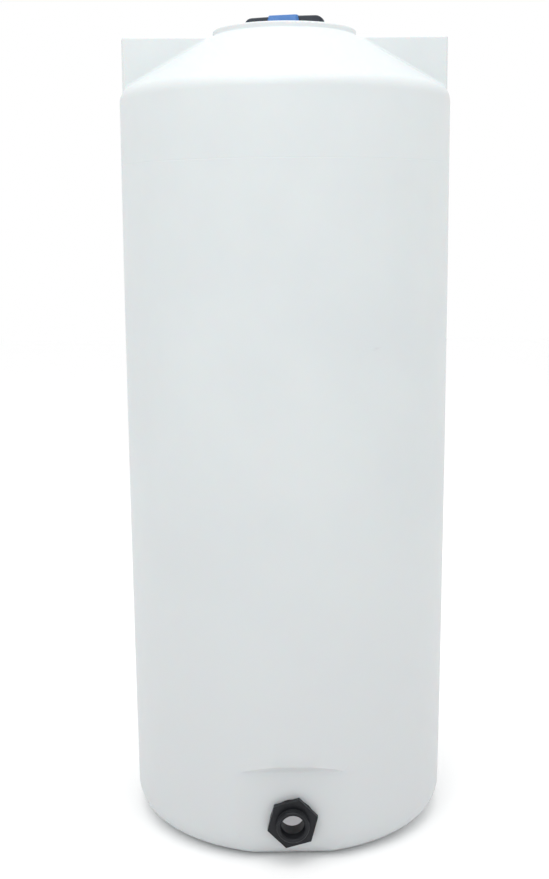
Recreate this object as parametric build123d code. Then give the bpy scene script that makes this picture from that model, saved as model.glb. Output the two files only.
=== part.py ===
"""Upright polyethylene water tank with a screw lid and a bulkhead outlet at the foot of its front wall.

Millimetres, +Z up. The origin is the centre of the base, and the outlet faces -Y.
"""
from build123d import *
import math
import os

# --- tank shell ---
WALL = 6.0
BASE_ROUND = 60.0             # radius between the base and the wall
FOOT_R = 323.6                # wall radius at the top of that round
BELLY_R, BELLY_Z = 328.9, 760.0
SHOULDER_R = 330.0
RIM_ROUND = 33.0              # radius between the wall and the cone
CONE_ANGLE = 30.5             # slope of the cone, degrees from level
CONE_R, CONE_Z = 234.0, 1546.0
COLLAR_R, COLLAR_TOP, COLLAR_ROUND = 143.0, 1611.0, 4.0
SEAT_R, SEAT_DEPTH = 114.0, 7.0
NECK_HOLE_R = 93.0
WING_HALF, WING_END_R, WING_TOP, WING_ROUND = 63.0, 324.0, 1595.0, 6.0
WING_FOOT = 1470.0            # the wing bar starts inside the wall
WING_BLEND, COLLAR_BLEND = 7.0, 3.0
PAD_Y, PAD_ROUND = 306.0, 50.0
STEP_FOOT, STEP_TOP, STEP_OUT = 172.0, 216.0, 327.5   # the S-shaped step from the pad out to the wall above
PAD_CUT_REACH = 400.0

# --- neck ring, let into the seat ---
SEAT_Z = COLLAR_TOP - SEAT_DEPTH
SEAL = 2.0                    # thickness of the flat gaskets
RING_FLANGE_R, RING_FLANGE = 110.0, 4.0
RING_BARREL_R, RING_BORE_R, RING_FOOT = 92.0, 86.9, 1580.0
RING_TOP = SEAT_Z + SEAL + RING_FLANGE
SCREWS, SCREW_PCR = 6, 102.0
SCREW_R, SCREW_LENGTH = 2.4, 16.0
SCREW_HEAD_R, SCREW_HEAD = 4.5, 2.6

# --- three-start thread of the lid ---
LEAD, STARTS, THREAD_SWEEP = 18.0, 3, 200.0
THREAD_FOOT = 1590.0
THREAD_RUN_OUT = 60.0         # degrees between the lid's ridges and the ring's
RIDGE_ROOT, RIDGE_CREST, RIDGE_BURIED = 3.0, 1.8, 0.6
LID_CREST_R, RING_CREST_R = 86.3, 84.7

# --- lid ---
LID_UNDER = RING_TOP + SEAL
LID_R, LID_DISC = 94.0, 5.0
LID_TOP = LID_UNDER + LID_DISC
SKIRT_R, SKIRT_WALL, SKIRT_FOOT = 84.0, 4.5, 1587.0
BAR_LENGTH, BAR_WIDTH, BAR_HEIGHT = 165.0, 24.0, 23.0
BAR_BOW, BAR_END_ROUND = 1.5, 18.0     # the top is bowed, and falls away at both ends
BAR_DRAFT, BAR_EDGE = 6.84, 2.5
BAR_TURN = -15.0              # the bar's right end points towards the front
BAR_TOP = LID_TOP + BAR_HEIGHT
POCKET_WIDTH, POCKET_ROOF = 11.0, 1636.0
END_POCKET = (38.0, 66.0)     # from the middle, along the bar
MID_POCKET = 24.0
AIR_SLOT = (7.0, 4.0)         # length and height of the slots in the bar's sides
AIR_SLOT_AT = 13.0

# --- breather under and over the bar's middle ---
CAP_LENGTH, CAP_WIDTH, CAP_WALL, CAP_GAP = 71.0, 42.0, 1.2, 0.15
CAP_FACET = (6.0, 9.0)        # cut off each corner in plan: along the bar, and across it
CAP_DRAFT, CAP_EDGE = 14.0, 1.2
CAP_FOOT = LID_TOP + 1.0
WELL_R, WELL_WALL, WELL_FOOT = 22.0, 2.5, 1601.0
STEM_R, AIR_HOLE_R, AIR_HOLE_AT = 2.2, 2.4, 8.0
VALVE_R, VALVE_THICK = 13.0, 1.5
SCREEN_Z, SCREEN_THICK = 1604.4, 0.8
SNAP_RING_THICK, SNAP_RING_INNER_R = 2.0, 17.5

# --- outlet: distances forward from the tank's axis ---
OUTLET_Z = 84.0
BORE_R, BARREL_R = 24.0, 31.5
BARREL_TIP = 338.5
FLANGE_R, FLANGE, TAIL_R, TAIL_END = 45.0, 8.0, 34.0, 278.5
INNER_SEAL, INNER_SEAL_R = 3.0, 34.5
OUTER_SEAL_R, WASHER_R, WASHER = 42.0, 44.5, 2.5
NUT_CORNER_R, NUT, NUT_TURN = 50.8, 12.0, 15.0
FIT_GAP = 0.3


def tube(r_out, r_in, low, high):
    """A round ring about the Z axis between two heights."""
    ring = Cylinder(r_out, high - low) - Cylinder(r_in, high - low)
    return Pos(0, 0, (low + high) / 2) * ring


def disc(radius, low, high):
    return Pos(0, 0, (low + high) / 2) * Cylinder(radius, high - low)


def forward(shape):
    """Turns a shape made about +Z so that it points along -Y, on the outlet's axis."""
    return Pos(0, 0, OUTLET_Z) * Rot(90, 0, 0) * shape


def revolved(outline):
    return revolve(Plane.XZ * make_face(outline), axis=Axis.Z)


def cone_z(radius):
    return CONE_Z + (CONE_R - radius) * math.tan(math.radians(CONE_ANGLE))


def body_of_revolution(inset):
    """The tank without its wings and pad, with every face moved inwards by inset."""
    slope = math.radians(CONE_ANGLE)
    drop = inset / math.cos(slope)
    turn = math.pi / 2 - slope
    shoulder = SHOULDER_R - inset
    corner_z = cone_z(shoulder) - drop
    rim = RIM_ROUND - inset
    reach = rim * math.tan(turn / 2)
    wall_top = (shoulder, corner_z - reach)
    cone_foot = (shoulder - reach * math.cos(slope), corner_z + reach * math.sin(slope))
    centre = (shoulder - rim, corner_z - reach)
    rim_mid = (centre[0] + rim * math.cos(turn / 2), centre[1] + rim * math.sin(turn / 2))
    foot = FOOT_R - inset
    base_round = BASE_ROUND - inset
    base_end = foot - base_round
    lean = math.sqrt(0.5) * base_round
    outline = [
        Line((0, inset), (base_end, inset)),
        ThreePointArc((base_end, inset), (base_end + lean, inset + base_round - lean), (foot, inset + base_round)),
        ThreePointArc((foot, inset + base_round), (BELLY_R - inset, BELLY_Z), wall_top),
        ThreePointArc(wall_top, rim_mid, cone_foot),
    ]
    if inset:
        roof = SEAT_Z - inset
        roof_r = CONE_R - (roof + drop - CONE_Z) / math.tan(slope)
        outline += [Line(cone_foot, (roof_r, roof)), Line((roof_r, roof), (0, roof)), Line((0, roof), (0, inset))]
    else:
        edge = COLLAR_ROUND * (1 - math.sqrt(0.5))
        flat_r = COLLAR_R - COLLAR_ROUND
        side_top = (COLLAR_R, COLLAR_TOP - COLLAR_ROUND)
        outline += [
            Line(cone_foot, (COLLAR_R, cone_z(COLLAR_R))),
            Line((COLLAR_R, cone_z(COLLAR_R)), side_top),
            ThreePointArc(side_top, (COLLAR_R - edge, COLLAR_TOP - edge), (flat_r, COLLAR_TOP)),
            Line((flat_r, COLLAR_TOP), (0, COLLAR_TOP)),
            Line((0, COLLAR_TOP), (0, 0)),
        ]
    return revolved(outline)


def wing_bar(inset):
    """The flat bar across the cone, which makes the two handling wings."""
    height = WING_TOP - inset - WING_FOOT
    box = Box(2 * WING_END_R, 2 * (WING_HALF - inset), height)
    bar = Pos(0, 0, WING_FOOT + height / 2) * (box & Cylinder(WING_END_R - inset, height))
    if inset:
        return bar
    upright = bar.edges().filter_by(Axis.Z)
    bar = fillet(upright, WING_ROUND)
    return fillet(bar.faces().sort_by(Axis.Z)[-1].edges(), WING_ROUND)


def pad_cutter(inset):
    """What is taken off the front of the tank to leave the flat pad."""
    flat = PAD_Y - inset
    low = inset
    round_r = PAD_ROUND - inset
    lean = math.sqrt(0.5) * round_r
    mid = (flat - round_r + lean, low + round_r - lean)
    turn = 2 * math.atan((STEP_OUT - PAD_Y) / (STEP_TOP - STEP_FOOT))
    step_r = (STEP_TOP - STEP_FOOT) / (2 * math.sin(turn))

    def hollow_arc(angle):
        radius = step_r + inset
        return (PAD_Y + step_r - radius * math.cos(angle), STEP_FOOT + radius * math.sin(angle))

    def crown_arc(angle):
        radius = step_r - inset
        return (STEP_OUT - step_r + radius * math.cos(angle), STEP_TOP - radius * math.sin(angle))

    outline = [
        Line((PAD_CUT_REACH, STEP_TOP), crown_arc(0)),
        ThreePointArc(crown_arc(0), crown_arc(turn / 2), crown_arc(turn)),
        ThreePointArc(crown_arc(turn), hollow_arc(turn / 2), hollow_arc(0)),
        Line(hollow_arc(0), (flat, low + round_r)),
        ThreePointArc((flat, low + round_r), mid, (flat - round_r, low)),
        Polyline((flat - round_r, low), (flat - round_r, -10), (PAD_CUT_REACH, -10), (PAD_CUT_REACH, STEP_TOP)),
    ]
    side = Plane(origin=(0, 0, 0), x_dir=(0, -1, 0), z_dir=(-1, 0, 0)) * make_face(outline)
    return extrude(side, amount=SHOULDER_R, both=True)


def screw_places(shape):
    return [Rot(0, 0, (k + 0.5) * 360 / SCREWS) * Pos(SCREW_PCR, 0, 0) * shape for k in range(SCREWS)]


def circles_near(shape, height):
    """The circular edges of a shape that lie at about one height."""
    return [edge for edge in shape.edges().filter_by(GeomType.CIRCLE) if abs(edge.center().Z - height) < 3]


def tank_outside():
    """The outer skin as a full solid, with soft blends where the wings and the collar meet the cone."""
    cone_foot = cone_z(SHOULDER_R)
    joined = body_of_revolution(0) + wing_bar(0)
    meeting = joined.edges().filter_by(GeomType.HYPERBOLA) + joined.edges().filter_by(GeomType.BSPLINE)
    joined = fillet(meeting + circles_near(joined, cone_foot), WING_BLEND)
    joined = fillet(circles_near(joined, cone_z(COLLAR_R) - 1), COLLAR_BLEND)
    return joined - pad_cutter(0)


def tank_shell():
    outside = tank_outside()
    inside = body_of_revolution(WALL) + wing_bar(WALL) - pad_cutter(WALL)
    shell = outside - inside
    shell -= disc(SEAT_R, SEAT_Z, COLLAR_TOP + 1)
    shell -= disc(NECK_HOLE_R, SEAT_Z - 2 * WALL, SEAT_Z + 1)
    shell -= forward(disc(BARREL_R + FIT_GAP, PAD_Y - 2 * WALL, PAD_Y + 1))
    for hole in screw_places(disc(SCREW_R, SEAT_Z - 2 * WALL, SEAT_Z + 1)):
        shell -= hole
    return shell


def thread_ridges(root_r, crest_r, first_angle):
    """Interrupted ridges of the three-start thread, each standing from root_r to crest_r."""
    outwards = 1 if crest_r > root_r else -1
    height = LEAD * THREAD_SWEEP / 360
    path = Helix(pitch=LEAD, height=height, radius=root_r)
    stand = abs(crest_r - root_r)
    half_root, half_crest = RIDGE_ROOT / 2, RIDGE_CREST / 2
    outline = [
        (-outwards * RIDGE_BURIED, -half_root),
        (outwards * stand, -half_crest),
        (outwards * stand, half_crest),
        (-outwards * RIDGE_BURIED, half_root),
    ]
    section = Plane(origin=path @ 0, x_dir=(1, 0, 0), z_dir=path % 0) * make_face(Polyline(*outline, close=True))
    ridge = Pos(0, 0, THREAD_FOOT) * sweep(section, path=path, is_frenet=True)
    return [Rot(0, 0, first_angle + k * 360 / STARTS) * ridge for k in range(STARTS)]


def neck_ring():
    ring = tube(RING_FLANGE_R, RING_BORE_R, SEAT_Z + SEAL, RING_TOP)
    ring += tube(RING_BARREL_R, RING_BORE_R, RING_FOOT, SEAT_Z + SEAL)
    for ridge in thread_ridges(RING_BORE_R, RING_CREST_R, THREAD_RUN_OUT):
        ring += ridge
    for hole in screw_places(disc(SCREW_R + FIT_GAP, SEAT_Z, RING_TOP + 1)):
        ring -= hole
    return ring


def neck_ring_gasket():
    gasket = tube(RING_FLANGE_R - 1, NECK_HOLE_R, SEAT_Z, SEAT_Z + SEAL)
    for hole in screw_places(disc(SCREW_R + FIT_GAP, SEAT_Z - 1, SEAT_Z + SEAL + 1)):
        gasket -= hole
    return gasket


def neck_ring_screws():
    """Pan-head screws with a cross recess, all in one node."""
    tip = RING_TOP - SCREW_LENGTH
    head = disc(SCREW_HEAD_R, RING_TOP, RING_TOP + SCREW_HEAD)
    head = fillet(head.edges().sort_by(Axis.Z)[-1], 1.6)
    shank = disc(SCREW_R, tip + SCREW_R, RING_TOP)
    point = Pos(0, 0, tip + SCREW_R / 2) * Cone(0.3, SCREW_R, SCREW_R)
    recess = Pos(0, 0, RING_TOP + SCREW_HEAD) * (Box(4.4, 1.0, 3.0) + Box(1.0, 4.4, 3.0))
    screw = head + shank + point - recess
    return Compound(children=screw_places(screw))


def grip_bar():
    """A tapered bar along X with round ends, bowed on top and rounded down at both ends."""
    half, end_top = BAR_LENGTH / 2, BAR_TOP - BAR_BOW
    plan = Pos(0, 0, LID_TOP) * extrude(SlotOverall(BAR_LENGTH, BAR_WIDTH), amount=BAR_HEIGHT, taper=BAR_DRAFT)
    side = make_face([
        Line((-half, LID_TOP), (-half, end_top)),
        ThreePointArc((-half, end_top), (0, BAR_TOP), (half, end_top)),
        Polyline((half, end_top), (half, LID_TOP), (-half, LID_TOP)),
    ])
    side = fillet(side.vertices().sort_by(Axis.Y)[-2:], BAR_END_ROUND)
    bar = plan & extrude(Plane.XZ * side, amount=BAR_WIDTH, both=True)
    bowed_top = bar.faces().sort_by(Axis.Z)[-1]
    return fillet(bowed_top.edges(), BAR_EDGE)


def lid_body():
    lid = disc(LID_R, LID_UNDER, LID_TOP)
    lid = fillet(lid.edges().sort_by(Axis.Z)[-1], 1.5)
    lid += tube(SKIRT_R, SKIRT_R - SKIRT_WALL, SKIRT_FOOT, LID_UNDER)
    lid += grip_bar()
    lid += tube(WELL_R + WELL_WALL, WELL_R, WELL_FOOT, LID_UNDER)
    inner, outer = END_POCKET
    roof = POCKET_ROOF
    for side in (-1, 1):
        pocket = Box(outer - inner, POCKET_WIDTH, roof - LID_UNDER)
        lid -= Pos(side * (inner + outer) / 2, 0, (roof + LID_UNDER) / 2) * pocket
        for at in (-AIR_SLOT_AT, AIR_SLOT_AT):
            slot = Box(AIR_SLOT[0], BAR_WIDTH, AIR_SLOT[1])
            lid -= Pos(at, side * BAR_WIDTH / 2, LID_TOP + 6 + AIR_SLOT[1] / 2) * slot
    lid -= Pos(0, 0, (roof + LID_TOP) / 2) * Box(2 * MID_POCKET, POCKET_WIDTH, roof - LID_TOP)
    lid -= disc(STEM_R, LID_UNDER - 1, LID_TOP + 1)
    for at in (-AIR_HOLE_AT, AIR_HOLE_AT):
        lid -= Pos(at, 0, 0) * disc(AIR_HOLE_R, LID_UNDER - 1, LID_TOP + 1)
    lid = Rot(0, 0, BAR_TURN) * lid
    for ridge in thread_ridges(SKIRT_R, LID_CREST_R, 0):
        lid += ridge
    return lid


def lid_gasket():
    return tube(LID_R - 0.5, RING_BORE_R + 1, RING_TOP, LID_UNDER)


def breather_cap():
    """A hood over the middle of the grip bar, wider than the bar and with its corners cut off."""
    lean = math.tan(math.radians(BAR_DRAFT))
    top = BAR_TOP + CAP_GAP + CAP_WALL

    def hood(inset, roof):
        half, width = CAP_LENGTH / 2 - inset, CAP_WIDTH / 2 - inset
        along, across = half - CAP_FACET[0], width - CAP_FACET[1]
        corners = [(half, across), (along, width), (-along, width), (-half, across)]
        corners += [(-x, -y) for x, y in corners]
        return Pos(0, 0, CAP_FOOT) * extrude(make_face(Polyline(*corners, close=True)), roof - CAP_FOOT, taper=CAP_DRAFT)

    foot = BAR_WIDTH / 2 + CAP_GAP - lean * (CAP_FOOT - LID_TOP)
    head = BAR_WIDTH / 2 + CAP_GAP - lean * BAR_HEIGHT
    roof = BAR_TOP + CAP_GAP
    passage = make_face(Polyline((-foot, CAP_FOOT), (foot, CAP_FOOT), (head, roof), (-head, roof), close=True))
    outside = hood(0, top)
    outside = fillet(outside.faces().sort_by(Axis.Z)[-1].edges(), CAP_EDGE)
    cap = outside - hood(CAP_WALL, roof) - extrude(Plane.YZ * passage, amount=CAP_LENGTH, both=True)
    return Rot(0, 0, BAR_TURN) * cap


def vent_valve():
    """An umbrella valve: a stem through the lid, a thin flap below it and a bulb above it."""
    flap = disc(VALVE_R, LID_UNDER - VALVE_THICK, LID_UNDER)
    stem = disc(STEM_R, LID_UNDER, LID_TOP)
    bulb = Pos(0, 0, LID_TOP + 1.6) * Cone(3.2, 1.2, 3.2)
    return flap + stem + bulb


def breather_screen():
    """A round screen, cut through by rows of square holes."""
    screen = disc(WELL_R, SCREEN_Z, SCREEN_Z + SCREEN_THICK)
    pitch, hole = 4.0, 2.8
    steps = range(-4, 5)
    for i in steps:
        for j in steps:
            if math.hypot(i, j) * pitch < SNAP_RING_INNER_R - hole / 2:
                screen -= Pos(i * pitch, j * pitch, SCREEN_Z) * Box(hole, hole, 4)
    return screen


def breather_screen_ring():
    return tube(WELL_R, SNAP_RING_INNER_R, SCREEN_Z - SNAP_RING_THICK, SCREEN_Z)


def outlet_body():
    wall_in = PAD_Y - WALL
    face = wall_in - INNER_SEAL
    barrel = tube(BARREL_R, BORE_R, TAIL_END, BARREL_TIP)
    rim = barrel.edges().sort_by(Axis.Z)[-2:]
    barrel = chamfer(rim, 1.5)
    barrel += tube(FLANGE_R, BARREL_R - 1, face - FLANGE, face)
    barrel += tube(TAIL_R, BARREL_R - 1, TAIL_END, face - FLANGE)
    return forward(barrel)


def outlet_inner_gasket():
    wall_in = PAD_Y - WALL
    return forward(tube(INNER_SEAL_R, BARREL_R, wall_in - INNER_SEAL, wall_in))


def outlet_outer_gasket():
    return forward(tube(OUTER_SEAL_R, BARREL_R, PAD_Y, PAD_Y + SEAL))


def outlet_washer():
    low = PAD_Y + SEAL
    washer = tube(WASHER_R, BARREL_R + FIT_GAP, low, low + WASHER)
    washer = chamfer(washer.edges().sort_by(Axis.Z)[-1], 0.6)
    return forward(washer)


def outlet_nut():
    low = PAD_Y + SEAL + WASHER
    hexagon = extrude(Rot(0, 0, NUT_TURN) * RegularPolygon(NUT_CORNER_R, 6), amount=NUT)
    nut = Pos(0, 0, low) * hexagon
    slope = 3.0
    crown = Pos(0, 0, low + NUT / 2) * Cone(NUT_CORNER_R + NUT * slope, NUT_CORNER_R - 0.6, NUT)
    nut = nut & crown
    nut -= disc(BARREL_R, low - 1, low + NUT + 1)
    return forward(nut)


NODES = (
    tank_shell,
    neck_ring,
    neck_ring_gasket,
    neck_ring_screws,
    lid_body,
    lid_gasket,
    breather_cap,
    vent_valve,
    breather_screen,
    breather_screen_ring,
    outlet_body,
    outlet_inner_gasket,
    outlet_outer_gasket,
    outlet_washer,
    outlet_nut,
)

os.makedirs("parts", exist_ok=True)
for make in NODES:
    export_step(make(), f"parts/{make.__name__}.step")
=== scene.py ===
import math

import bmesh
import bpy
from mathutils import Euler, Matrix, Vector


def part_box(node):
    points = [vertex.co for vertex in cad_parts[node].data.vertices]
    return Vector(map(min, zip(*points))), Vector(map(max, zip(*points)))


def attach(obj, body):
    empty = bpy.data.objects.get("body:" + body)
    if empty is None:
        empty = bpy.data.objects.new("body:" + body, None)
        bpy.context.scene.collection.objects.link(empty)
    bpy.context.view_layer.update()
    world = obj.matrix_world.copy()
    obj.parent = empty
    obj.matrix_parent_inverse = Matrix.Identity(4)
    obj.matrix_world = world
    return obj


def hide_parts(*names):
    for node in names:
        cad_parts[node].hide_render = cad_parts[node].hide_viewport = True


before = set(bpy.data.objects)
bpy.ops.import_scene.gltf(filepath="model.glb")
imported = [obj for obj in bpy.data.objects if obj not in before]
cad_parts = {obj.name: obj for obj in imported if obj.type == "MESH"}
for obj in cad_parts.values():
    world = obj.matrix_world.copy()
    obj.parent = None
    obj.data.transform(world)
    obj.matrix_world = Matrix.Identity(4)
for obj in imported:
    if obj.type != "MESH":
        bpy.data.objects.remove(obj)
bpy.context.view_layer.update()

MM = 0.001

# Places read from the frame.
TANK_LOW, TANK_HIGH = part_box("tank_shell")
BARREL_LOW, BARREL_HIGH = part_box("outlet_body")
OUTLET_Z = (BARREL_LOW.z + BARREL_HIGH.z) / 2
BARREL_TIP = -BARREL_LOW.y
NUT_FACE = -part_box("outlet_nut")[0].y
LID_LOW, LID_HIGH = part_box("lid_body")
LID_R = (LID_HIGH.x - LID_LOW.x) / 2
LID_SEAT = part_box("lid_gasket")[1].z

# Sizes that the frame doesn't state, in metres.
BORE_R, BARREL_R = 24 * MM, 31.5 * MM
THREAD_PITCH, THREAD_STAND = 2.31 * MM, 0.85 * MM
BORE_THREAD = 24 * MM                 # how far the inside thread runs in
LID_DISC = 5 * MM
RIM_RIBS, RIM_RIB_R = 72, 1.0 * MM
RIM_RIB_FOOT, RIM_RIB_LENGTH = 0.3 * MM, 2.8 * MM
BEAD_RS, BEAD_STAND = (0.052, 0.088), 0.7 * MM
PARTING_Z, PARTING_HALF, PARTING_DEPTH = 1.348, 1.1 * MM, 0.2 * MM
HALF_WALL = 3 * MM
NECK_DROP = 13.2 * MM                 # from the collar's top to just above the underside of the neck's seat
SAME_POINT, ON_PLANE = 0.01 * MM, 0.001 * MM

# The round part of the wall, and how far an edge may sag inside its curve.
WALL_SPAN, LEAST_WALL_R = (0.055, 1.475), 0.315
PAD_SIDE = -0.28                      # nearer the front than this is the flat pad
MOST_SAG = 1.0 * MM
SMOOTH_ANGLE = math.radians(32)


# --- shader graphs -------------------------------------------------------------------------------

class Wire:
    """A socket of a shader graph. Sums and products of wires add their own Math nodes."""

    def __init__(self, graph, socket):
        self.graph = graph
        self.socket = socket

    def _math(self, operation, *values):
        return self.graph.node("Math", {"operation": operation}, *values)

    def __add__(self, other):
        return self._math("ADD", self, other)

    def __rsub__(self, other):
        return self._math("SUBTRACT", other, self)

    def __mul__(self, other):
        return self._math("MULTIPLY", self, other)

    __radd__ = __add__
    __rmul__ = __mul__

    def clipped(self, low, high):
        """0 below low, 1 above high, and smooth between."""
        settings = {"interpolation_type": "SMOOTHSTEP"}
        return self.graph.node("MapRange", settings, Value=self, **{"From Min": low, "From Max": high})


class Graph:
    """One material's nodes, ending in its Principled shader."""

    def __init__(self, name):
        self.material = bpy.data.materials.new(name)
        self.material.use_nodes = True
        self.tree = self.material.node_tree
        self.shader = self.tree.nodes["Principled BSDF"]
        self.place = self.node("TexCoord", {}, out="Object")

    def node(self, kind, settings, *values, out=0, inputs=None, **named):
        """Adds a node, makes its settings, then fills its sockets in order, by number or by name."""
        node = self.tree.nodes.new("ShaderNode" + kind)
        for key, setting in settings.items():
            setattr(node, key, setting)
        for key, value in [*enumerate(values), *(inputs or {}).items(), *named.items()]:
            self.fill(node.inputs[key], value)
        return Wire(self, node.outputs[out])

    def fill(self, socket, value):
        if isinstance(value, Wire):
            self.tree.links.new(value.socket, socket)
        else:
            socket.default_value = value

    def surface(self, **sockets):
        """Fills the shader's own sockets; an underscore in a name stands for a space."""
        for key, value in sockets.items():
            self.fill(self.shader.inputs[key.replace("_", " ")], value)
        return self.material

    def noise(self, scale, detail=3.0, roughness=0.5, stretch=None):
        at = self.place
        if stretch:
            at = self.node("Mapping", {}, at, Scale=stretch)
        return self.node("TexNoise", {}, Vector=at, Scale=scale, Detail=detail, Roughness=roughness)

    def colours(self, factor, first, second):
        """Runs from the first colour at 0 to the second at 1."""
        ends = [end if isinstance(end, Wire) else rgb(end) for end in (first, second)]
        return self.node("Mix", {"data_type": "RGBA"}, out=2, inputs={0: factor, 6: ends[0], 7: ends[1]})

    def bump(self, height, strength, depth, under=None):
        sockets = {"Strength": strength, "Distance": depth, "Height": height}
        if under:
            sockets["Normal"] = under
        return self.node("Bump", {}, **sockets)


def rgb(colour):
    return (*colour, 1.0)


def tank_plastic(name, inside):
    """Milky polyethylene: waxy, slightly uneven, with the fine orange peel of a mould.

    The wall is painted a little deeper in tone towards the foot: painted shade for the lesser daylight that
    comes through it from above.
    """
    g = Graph(name)
    cloud = g.noise(3.2, detail=5.0, roughness=0.55).clipped(0.35, 0.7)
    speck = g.noise(150.0, detail=2.0)
    height = g.node("SeparateXYZ", {}, g.place, out=2)
    even = g.colours(cloud, TANK_PALE, TANK_DEEP)
    # Painted shade: the wall's colour darkens towards the foot over the height span, then blends into its
    # even tone.
    colour = g.colours(height.clipped(*FOOT_SHADE_SPAN), TANK_FOOT_PAINTED_SHADE, even)
    if not inside:
        colour = g.colours(scuff(g), colour, SCUFF_TONE)
    peel = g.bump(speck, 0.10, 0.4 * MM)
    wave = g.bump(g.noise(5.0, detail=1.0), 0.25, 3 * MM, peel)
    g.surface(Base_Color=colour, Roughness=g.noise(24.0) * 0.14 + 0.36, Normal=wave)
    g.surface(Subsurface_Weight=0.15, Subsurface_Scale=0.02, IOR=1.5)
    # Painted light: the inside glows pale grey, standing in for daylight that comes through the wall.
    if inside:
        g.surface(Emission_Color=rgb((0.66, 0.66, 0.67)), Emission_Strength=PAINTED_INSIDE_GLOW)
    return g.material


def scuff(g):
    """A faint rubbed mark on the front of the wall, broken up into strokes."""
    local = g.node("Mapping", {"vector_type": "TEXTURE"}, g.place, Location=SCUFF_AT, Scale=SCUFF_SIZE)
    near = 1 - g.node("VectorMath", {"operation": "LENGTH"}, local, out=1).clipped(0.4, 1.0)
    strokes = g.noise(60.0, detail=4.0, stretch=(0.3, 1.0, 5.0)).clipped(0.45, 0.62)
    return near * strokes * SCUFF_STRENGTH


def moulded(name, pale, deep, roughness, grain=900.0, grain_depth=0.05 * MM):
    """A moulded plastic or rubber: two near tones, a fine grain and uneven gloss."""
    g = Graph(name)
    patch = g.noise(38.0, detail=4.0).clipped(0.4, 0.65)
    texture = g.bump(g.noise(grain, detail=2.0), 0.35, grain_depth)
    gloss = g.noise(70.0, detail=3.0) * 0.16 + (roughness - 0.08)
    g.surface(Base_Color=g.colours(patch, pale, deep), Roughness=gloss, Normal=texture)
    return g.surface(Specular_IOR_Level=0.3)


def metal(name, stretch):
    g = Graph(name)
    lines = g.noise(400.0, detail=2.0, stretch=stretch)
    colour = g.colours(lines, (0.62, 0.62, 0.64), (0.46, 0.46, 0.49))
    grain = g.bump(lines, 0.2, 0.05 * MM)
    return g.surface(Base_Color=colour, Roughness=lines * 0.2 + 0.22, Metallic=1.0, Normal=grain)


TANK_PALE, TANK_DEEP = (0.615, 0.655, 0.66), (0.59, 0.63, 0.64)
# Painted shade: the wall's colour at the foot, darker than its even tone.
TANK_FOOT_PAINTED_SHADE = (0.545, 0.57, 0.58)
FOOT_SHADE_SPAN = (-0.1, 1.1)
SCUFF_AT, SCUFF_SIZE = (0.146, -0.295, 1.003), (0.034, 0.05, 0.006)
SCUFF_TONE, SCUFF_STRENGTH = (0.42, 0.44, 0.46), 0.35
# Painted light: how brightly the tank's inside glows.
PAINTED_INSIDE_GLOW = 0.24

NATURAL = tank_plastic("natural polyethylene", inside=False)
# The inside material glows with painted daylight.
NATURAL_INSIDE_PAINTED_GLOW = tank_plastic("inside of the tank with painted daylight glow", inside=True)
BLACK = moulded("black polypropylene", (0.006, 0.007, 0.010), (0.004, 0.005, 0.007), 0.42)
LID_BLACK = moulded("lid polypropylene", (0.034, 0.042, 0.055), (0.025, 0.031, 0.042), 0.42)
BLUE = moulded("blue breather plastic", (0.066, 0.195, 0.49), (0.048, 0.165, 0.44), 0.30)
RUBBER = moulded("black rubber", (0.022, 0.022, 0.022), (0.014, 0.014, 0.014), 0.75, grain=1500.0)
STEEL = metal("screw steel", (1, 1, 6))
WIRE = metal("screen steel", (1, 1, 1))

FINISHES = {
    "neck_ring": BLACK,
    "neck_ring_gasket": RUBBER,
    "neck_ring_screws": STEEL,
    "lid_body": LID_BLACK,
    "lid_gasket": RUBBER,
    "breather_cap": BLUE,
    "vent_valve": RUBBER,
    "breather_screen": WIRE,
    "breather_screen_ring": BLACK,
    "outlet_body": BLACK,
    "outlet_inner_gasket": RUBBER,
    "outlet_outer_gasket": RUBBER,
    "outlet_washer": BLACK,
    "outlet_nut": BLACK,
}


def dress(node, material):
    """Gives a CAD node its finish."""
    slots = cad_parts[node].data.materials
    slots.clear()
    slots.append(material)


for node, finish in FINISHES.items():
    dress(node, finish)


# --- the tank's skin -----------------------------------------------------------------------------

def parting_line(bm):
    """Cuts a fine groove round the wall where the mould's halves met, and returns the groove's edges."""
    rings = []
    for height in (PARTING_Z - PARTING_HALF, PARTING_Z, PARTING_Z + PARTING_HALF):
        everything = [*bm.verts, *bm.edges, *bm.faces]
        level = {"plane_co": (0, 0, height), "plane_no": (0, 0, 1)}
        cut = bmesh.ops.bisect_plane(bm, geom=everything, dist=ON_PLANE, **level)
        rings.append([e for e in cut["geom_cut"] if isinstance(e, bmesh.types.BMEdge)])
    wall_r = TANK_HIGH.x - HALF_WALL
    outer = [[e for e in ring if min(v.co.xy.length for v in e.verts) > wall_r] for ring in rings]
    for vert in {v for edge in outer[1] for v in edge.verts}:
        vert.co.xy -= vert.co.xy.normalized() * PARTING_DEPTH
    return [edge for ring in outer for edge in ring]


def mean_radius(edge):
    return sum(vert.co.xy.length for vert in edge.verts) / 2


def sags(edge):
    """Tells whether the middle of an edge of the round wall lies too far inside the wall's curve."""
    ends = [vert.co for vert in edge.verts]
    on_wall = all(WALL_SPAN[0] < end.z < WALL_SPAN[1] and end.y > PAD_SIDE for end in ends)
    if not on_wall or min(end.xy.length for end in ends) < LEAST_WALL_R:
        return False
    return mean_radius(edge) - ((ends[0] + ends[1]) / 2).xy.length > MOST_SAG


def round_wall(bm):
    """Splits the wall's edges that cut across its curve, and sets each new point out on the curve."""
    while sagging := [edge for edge in bm.edges if sags(edge)]:
        for edge, radius in [(edge, mean_radius(edge)) for edge in sagging]:
            split = bmesh.ops.bisect_edges(bm, edges=[edge], cuts=1)["geom_split"]
            for vert in [item for item in split if isinstance(item, bmesh.types.BMVert)]:
                vert.co.xy = vert.co.xy.normalized() * radius
        bmesh.ops.triangulate(bm, faces=[face for face in bm.faces if len(face.verts) > 3])


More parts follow.
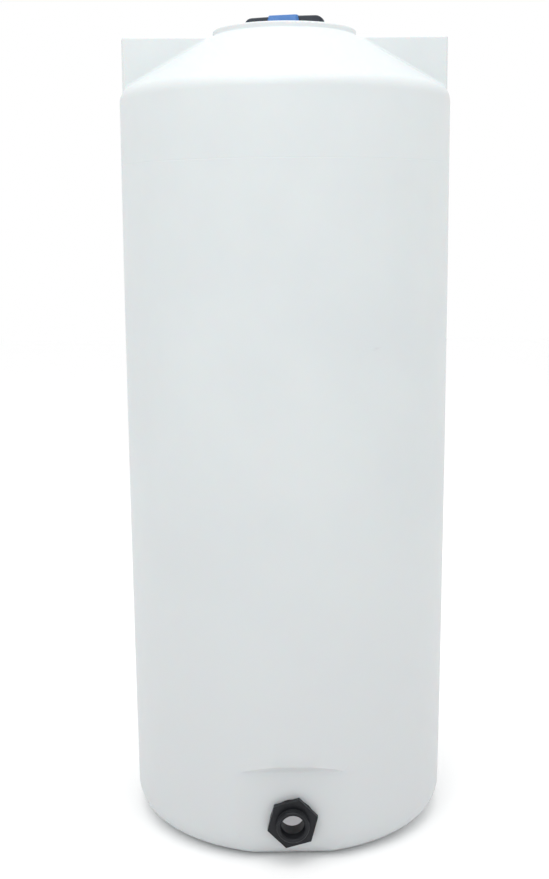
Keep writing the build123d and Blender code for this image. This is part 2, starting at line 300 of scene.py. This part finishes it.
def tank_skin():
    """The tank's own surface, merged and smoothed, with a parting line and an inside that glows with painted
    daylight.
    """
    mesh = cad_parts["tank_shell"].data.copy()
    mesh.name = "tank_skin"
    mesh.materials.clear()
    mesh.materials.append(NATURAL)
    mesh.materials.append(NATURAL_INSIDE_PAINTED_GLOW)
    bm = bmesh.new()
    bm.from_mesh(mesh)
    bmesh.ops.remove_doubles(bm, verts=bm.verts, dist=SAME_POINT)
    round_wall(bm)
    lips = parting_line(bm)
    middle = (TANK_LOW + TANK_HIGH) / 2
    roof = TANK_HIGH.z - NECK_DROP
    for face in bm.faces:
        at = face.calc_center_median()
        inwards = (at - middle).dot(face.normal) < 0
        # Inward faces under the roof take the inside material, which glows with painted light.
        face.material_index = int(inwards and at.z < roof)
        face.smooth = True
    for edge in bm.edges:
        edge.smooth = edge.calc_face_angle(0.0) < SMOOTH_ANGLE
    for edge in lips:
        edge.smooth = False
    bm.to_mesh(mesh)
    bm.free()
    skin = bpy.data.objects.new("tank_skin", mesh)
    bpy.context.scene.collection.objects.link(skin)
    return skin


SKIN = tank_skin()
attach(SKIN, "tank")
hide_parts("tank_shell")


# --- threads, ribs and beads, grown by Geometry Nodes --------------------------------------------

class Tree:
    """A Geometry Nodes tree with named inputs. Its result is realized and given one material."""

    def __init__(self, name, **sizes):
        self.group = bpy.data.node_groups.new(name, "GeometryNodeTree")
        face = self.group.interface
        face.new_socket("Geometry", in_out="INPUT", socket_type="NodeSocketGeometry")
        face.new_socket("Geometry", in_out="OUTPUT", socket_type="NodeSocketGeometry")
        self.keys = {}
        for key, value in sizes.items():
            kind = "NodeSocketInt" if isinstance(value, int) else "NodeSocketFloat"
            socket = face.new_socket(key, in_out="INPUT", socket_type=kind)
            socket.default_value = value
            self.keys[key] = socket.identifier
        self.entry = self.group.nodes.new("NodeGroupInput")

    def size(self, key):
        return self.entry.outputs[key]

    def node(self, kind, settings=(), out=0, **sockets):
        """Adds a node; an underscore in a socket's name stands for a space."""
        node = self.group.nodes.new(kind)
        for key, setting in dict(settings).items():
            setattr(node, key, setting)
        for key, value in sockets.items():
            socket = node.inputs[key.replace("_", " ")]
            if isinstance(value, bpy.types.NodeSocket):
                self.group.links.new(value, socket)
            else:
                socket.default_value = value
        return node.outputs[out]

    def maths(self, operation, *values):
        node = self.group.nodes.new("ShaderNodeMath")
        node.operation = operation
        for socket, value in zip(node.inputs, values):
            if isinstance(value, bpy.types.NodeSocket):
                self.group.links.new(value, socket)
            else:
                socket.default_value = value
        return node.outputs[0]

    def vector(self, x=0.0, y=0.0, z=0.0):
        return self.node("ShaderNodeCombineXYZ", X=x, Y=y, Z=z)

    def finish(self, geometry, material):
        smooth = self.node("GeometryNodeSetShadeSmooth", Geometry=geometry)
        real = self.node("GeometryNodeRealizeInstances", Geometry=smooth)
        dressed = self.node("GeometryNodeSetMaterial", Geometry=real, Material=material)
        end = self.group.nodes.new("NodeGroupOutput")
        self.group.links.new(dressed, end.inputs[0])
        return self


def thread_tree(material):
    """A V-shaped ridge that climbs round the Z axis and dies away at both ends."""
    t = Tree("thread", Radius=0.03, Height=0.01, Pitch=0.002, Stand=0.001)
    turns = t.maths("DIVIDE", t.size("Height"), t.size("Pitch"))
    radius = t.size("Radius")
    line = t.node("GeometryNodeCurveSpiral", Resolution=64, Rotations=turns, Start_Radius=radius,
                  End_Radius=radius, Height=t.size("Height"))
    line = t.node("GeometryNodeSetCurveNormal", {"mode": "Z_UP"}, Curve=line)
    along = t.node("GeometryNodeSplineParameter")
    from_end = t.maths("MINIMUM", along, t.maths("SUBTRACT", 1.0, along))
    fade = t.maths("MINIMUM", t.maths("MULTIPLY_ADD", t.maths("MULTIPLY", from_end, turns), 3.0, 0.15), 1.0)
    ridge = t.node("GeometryNodeCurvePrimitiveCircle", Resolution=4, Radius=t.size("Stand"))
    return t.finish(t.node("GeometryNodeCurveToMesh", Curve=line, Profile_Curve=ridge, Scale=fade,
                           Fill_Caps=True), material)


def bead_tree(material):
    """A low round bead in a circle about the Z axis, at a height."""
    t = Tree("bead", Radius=0.05, Stand=0.001, Height=0.0, Segments=96)
    line = t.node("GeometryNodeCurvePrimitiveCircle", Resolution=t.size("Segments"), Radius=t.size("Radius"))
    bead = t.node("GeometryNodeCurvePrimitiveCircle", Resolution=8, Radius=t.size("Stand"))
    ring = t.node("GeometryNodeCurveToMesh", Curve=line, Profile_Curve=bead)
    placed = t.node("GeometryNodeTransform", Geometry=ring, Translation=t.vector(z=t.size("Height")))
    return t.finish(placed, material)


def rib_tree(material):
    """Upright half-round ribs, evenly spaced round a circle about the Z axis."""
    t = Tree("ribs", Radius=0.09, Rib=0.001, Foot=0.0, Length=0.004, Count=60)
    head = t.maths("ADD", t.size("Foot"), t.size("Length"))
    line = t.node("GeometryNodeCurvePrimitiveLine", Start=t.vector(z=t.size("Foot")), End=t.vector(z=head))
    rib = t.node("GeometryNodeCurvePrimitiveCircle", Resolution=8, Radius=t.size("Rib"))
    rod = t.node("GeometryNodeCurveToMesh", Curve=line, Profile_Curve=rib, Fill_Caps=True)
    places = t.node("GeometryNodeMeshCircle", Vertices=t.size("Count"), Radius=t.size("Radius"))
    return t.finish(t.node("GeometryNodeInstanceOnPoints", Points=places, Instance=rod), material)


def grow(name, tree, body, slot, place=None, **sizes):
    """Runs a tree, keeps its result as a plain mesh, and sets it on its body."""
    piece = bpy.data.objects.new(name, bpy.data.meshes.new(name + "_seed"))
    bpy.context.scene.collection.objects.link(piece)
    modifier = piece.modifiers.new("tree", "NODES")
    modifier.node_group = tree.group
    for key, value in sizes.items():
        modifier[tree.keys[key]] = value
    grown = piece.evaluated_get(bpy.context.evaluated_depsgraph_get())
    mesh = bpy.data.meshes.new_from_object(grown)
    piece.modifiers.clear()
    mesh.name = name
    if place:
        mesh.transform(place)
    piece.data = mesh
    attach(piece, body)


def forward(distance):
    """Turns what climbs along +Z so that it runs along -Y, on the outlet's axis, from a distance forward."""
    at = Matrix.Translation((0, -distance, OUTLET_Z))
    return at @ Matrix.Rotation(math.pi / 2, 4, "X")


def outlet_threads():
    """Starts the outside thread one turn inside the nut, and stops both threads short of the tip."""
    thread = thread_tree(BLACK)
    profile = {"Pitch": THREAD_PITCH, "Stand": THREAD_STAND}
    grow("barrel_thread", thread, "tank", "black_plastic", forward(NUT_FACE - THREAD_PITCH),
         Radius=BARREL_R, Height=BARREL_TIP - NUT_FACE - THREAD_PITCH / 2, **profile)
    grow("bore_thread", thread, "tank", "black_plastic", forward(BARREL_TIP - BORE_THREAD),
         Radius=BORE_R, Height=BORE_THREAD - THREAD_PITCH, **profile)


def lid_relief():
    """Two beads on the lid's disc, and grip ribs round its rim."""
    beads = bead_tree(LID_BLACK)
    for number, radius in enumerate(BEAD_RS, 1):
        grow(f"lid_bead_{number}", beads, "lid", "black_plastic", Radius=radius, Stand=BEAD_STAND,
             Height=LID_SEAT + LID_DISC)
    grow("lid_rim_ribs", rib_tree(LID_BLACK), "lid", "black_plastic", Radius=LID_R, Rib=RIM_RIB_R,
         Foot=LID_SEAT + RIM_RIB_FOOT, Length=RIM_RIB_LENGTH, Count=RIM_RIBS)


outlet_threads()
lid_relief()


# --- floor, light and camera ---------------------------------------------------------------------

WORLD_LIGHT = 1.0
FLOOR_HALF = 12.0
CAMERA_LENS, SENSOR_WIDTH = 52.15, 36.0
CAMERA_AWAY, CAMERA_HEIGHT = 2.638, 1.2154
CAMERA_SIDE = 1.41                    # degrees round from straight in front
CAMERA_DIP, CAMERA_PAN, CAMERA_ROLL = 0.1609, 0.0096, -0.0070


def studio():
    floor_mesh = bpy.data.meshes.new("floor")
    half = FLOOR_HALF
    corners = [(-half, -half, 0), (half, -half, 0), (half, half, 0), (-half, half, 0)]
    floor_mesh.from_pydata(corners, [], [(0, 1, 2, 3)])
    floor = bpy.data.objects.new("floor", floor_mesh)
    bpy.context.scene.collection.objects.link(floor)
    g = Graph("pale floor")
    tone = g.colours(g.noise(0.7), (1.0, 1.0, 1.0), (0.99, 0.99, 0.99))
    floor_mesh.materials.append(g.surface(Base_Color=tone, Roughness=0.9))

    world = bpy.data.worlds.new("studio")
    world.use_nodes = True
    world.node_tree.nodes["Background"].inputs["Color"].default_value = rgb((1.0, 1.0, 1.0))
    world.node_tree.nodes["Background"].inputs["Strength"].default_value = WORLD_LIGHT
    bpy.context.scene.world = world
    bpy.context.scene.view_settings.view_transform = "Standard"


def softbox(name, place, aim, size, power):
    light = bpy.data.lights.new(name, "AREA")
    light.shape = "RECTANGLE"
    light.size, light.size_y = size
    light.energy = power
    lamp = bpy.data.objects.new(name, light)
    lamp.location = place
    lamp.rotation_euler = (Vector(aim) - Vector(place)).to_track_quat("-Z", "Y").to_euler()
    bpy.context.scene.collection.objects.link(lamp)


def view_camera():
    data = bpy.data.cameras.new("camera")
    data.sensor_width = SENSOR_WIDTH
    data.lens = CAMERA_LENS
    camera = bpy.data.objects.new("camera", data)
    side = math.radians(CAMERA_SIDE)
    camera.location = (-CAMERA_AWAY * math.sin(side), -CAMERA_AWAY * math.cos(side), CAMERA_HEIGHT)
    turn = Euler((math.pi / 2 - CAMERA_DIP, 0, CAMERA_PAN - side)).to_matrix()
    camera.rotation_euler = (turn @ Euler((0, 0, CAMERA_ROLL)).to_matrix()).to_euler()
    bpy.context.scene.collection.objects.link(camera)
    bpy.context.scene.camera = camera


studio()
softbox("overhead", (0, -0.5, 3.4), (0, 0, 1.4), (2.4, 2.4), 30)
softbox("front", (-0.8, -2.6, 3.6), (0, 0, 1.3), (1.8, 1.2), 16)
view_camera()
